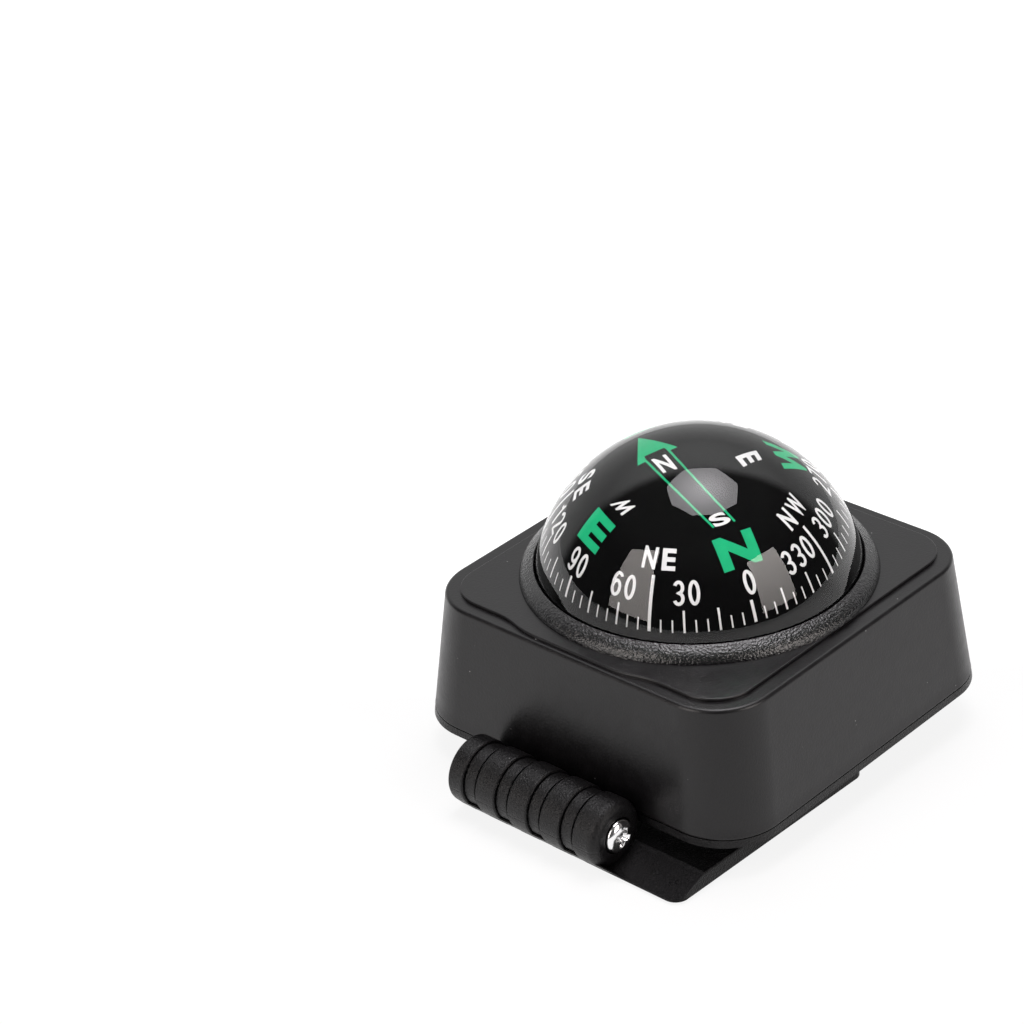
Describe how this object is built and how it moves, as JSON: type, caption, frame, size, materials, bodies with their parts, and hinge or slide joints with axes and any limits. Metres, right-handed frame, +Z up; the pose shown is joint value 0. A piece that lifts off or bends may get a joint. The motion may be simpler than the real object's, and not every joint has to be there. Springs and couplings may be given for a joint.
{
  "type": "dashboard compass",
  "caption": "Liquid-filled ball compass in a square black case that tilts on a knuckle hinge over an adhesive base plate.",
  "frame": {"origin": "centre of the adhesive pad's underside, on the surface that the compass stands on", "axes": "+Z up from the dashboard, X along the hinge, -Y towards the hinge"},
  "size_m": [0.0709, 0.0828, 0.0551],
  "materials": {
    "case_plastic": "satin black injection-moulded plastic with a fine grain",
    "bezel_plastic": "black plastic with a stronger moulded grain",
    "bowl_plastic": "plain black plastic",
    "clear_dome": "polished clear acrylic",
    "card_black": "black printed card shell",
    "seal_rubber": "soft black rubber",
    "screw_chrome": "bright plated steel",
    "screw_steel": "plain steel",
    "pivot_brass": "turned brass",
    "jewel": "polished bearing stone",
    "magnet": "dark ferrite",
    "foam": "dense adhesive foam"
  },
  "bodies": {
    "base": {"base_bracket": "case_plastic", "adhesive_pad": "foam", "hinge_screw": "screw_chrome", "hinge_nut": "screw_steel"},
    "case": {"bottom_cover": "case_plastic", "cover_screws": "screw_steel", "housing": "case_plastic", "bezel_ring": "bezel_plastic", "dome": "clear_dome", "capsule_bowl": "bowl_plastic", "capsule_seal": "seal_rubber", "capsule_screws": "screw_steel", "fill_plug": "seal_rubber", "expansion_diaphragm": "seal_rubber", "diaphragm_ring": "screw_steel", "pivot_stem": "pivot_brass", "pivot_pin": "screw_steel"},
    "card": {"card_float": "card_black", "card_spider": "bowl_plastic", "jewel_cup": "jewel", "card_magnets": "magnet"}
  },
  "joints": [
    {"name": "case_tilt", "type": "hinge", "parent": "base", "child": "case", "pos_m": [0, -0.02477, 0.0062], "axis": [1, 0, 0], "range_deg": [-4, 100]},
    {"name": "card_heading", "type": "hinge", "parent": "case", "child": "card", "pos_m": [-0.0078, 0.01609, 0.02734], "axis": [0, -0.0314, 0.9995], "continuous": true}
  ]
}
